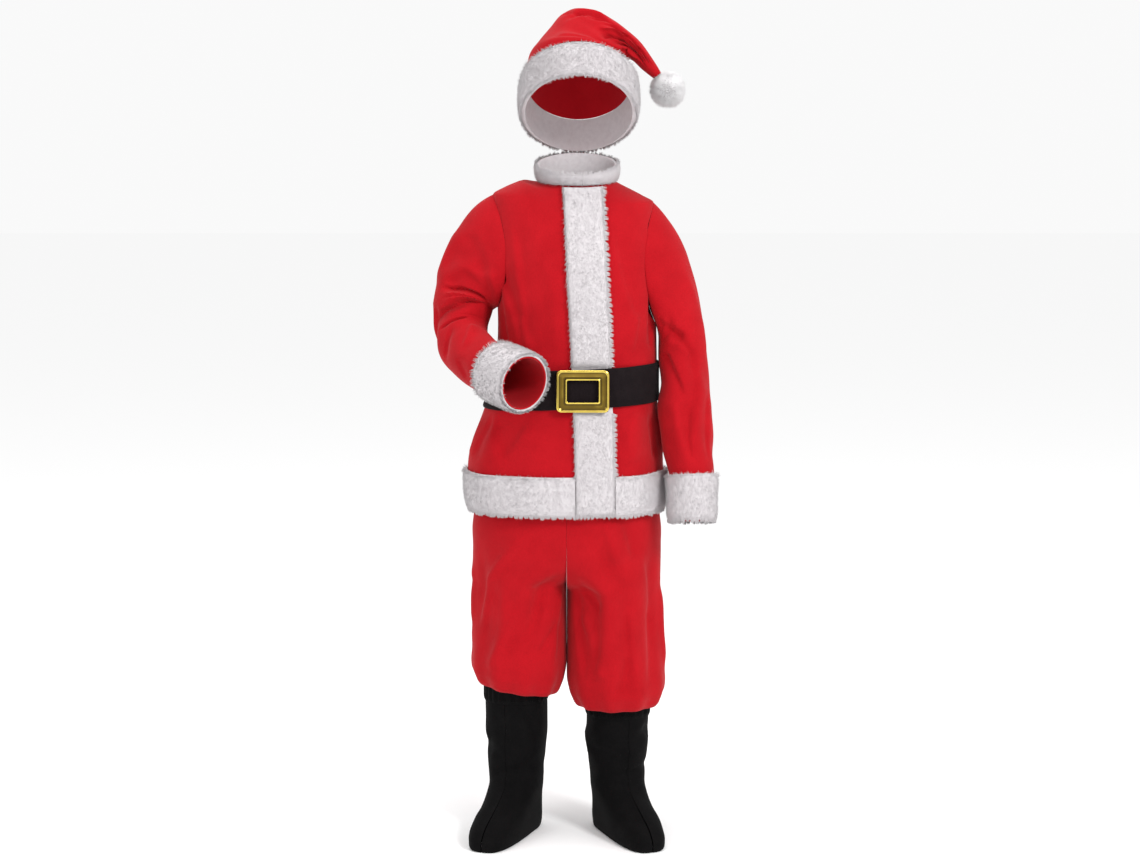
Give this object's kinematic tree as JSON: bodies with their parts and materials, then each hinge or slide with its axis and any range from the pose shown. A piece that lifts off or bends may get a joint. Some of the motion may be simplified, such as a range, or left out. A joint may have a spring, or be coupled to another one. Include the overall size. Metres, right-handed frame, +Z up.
{
  "type": "santa suit",
  "caption": "Child's Santa suit as worn: hat with pompom, fur-trimmed jacket with belt and buckle, knee trousers and black boot covers",
  "frame": {"origin": "the middle of the jacket's neck opening, level with the neck seam, where the suit is held", "axes": "+Z up, -Y to the front of the wearer, +X to the wearer's left"},
  "size_m": [0.4251, 0.3177, 1.2366],
  "materials": {
    "red_fleece": "soft brushed fleece",
    "white_fur": "long-pile plush fur",
    "black_belt_cloth": "matt woven",
    "black_boot_cloth": "soft matt",
    "gold_plastic": "bright gold-coloured plating"
  },
  "bodies": {
    "root": {"belt_buckle": "gold_plastic", "belt_strap": "black_belt_cloth", "boot_left_casing": "black_boot_cloth", "boot_left_inner": "black_boot_cloth", "boot_left_outer": "black_boot_cloth", "boot_left_strap": "black_boot_cloth", "boot_right_casing": "black_boot_cloth", "boot_right_inner": "black_boot_cloth", "boot_right_outer": "black_boot_cloth", "boot_right_strap": "black_boot_cloth", "collar_fur": "white_fur", "cuff_fur_left": "white_fur", "cuff_fur_right": "white_fur", "hat_brim": "white_fur", "hat_crown_back": "red_fleece", "hat_crown_front": "red_fleece", "hat_pompom": "white_fur", "hem_fur": "white_fur", "jacket_back": "red_fleece", "jacket_front_left": "red_fleece", "jacket_front_right": "red_fleece", "placket_fur": "white_fur", "sleeve_left": "red_fleece", "sleeve_right": "red_fleece", "trouser_leg_left": "red_fleece", "trouser_leg_right": "red_fleece", "trouser_waistband": "red_fleece"}
  },
  "joints": []
}
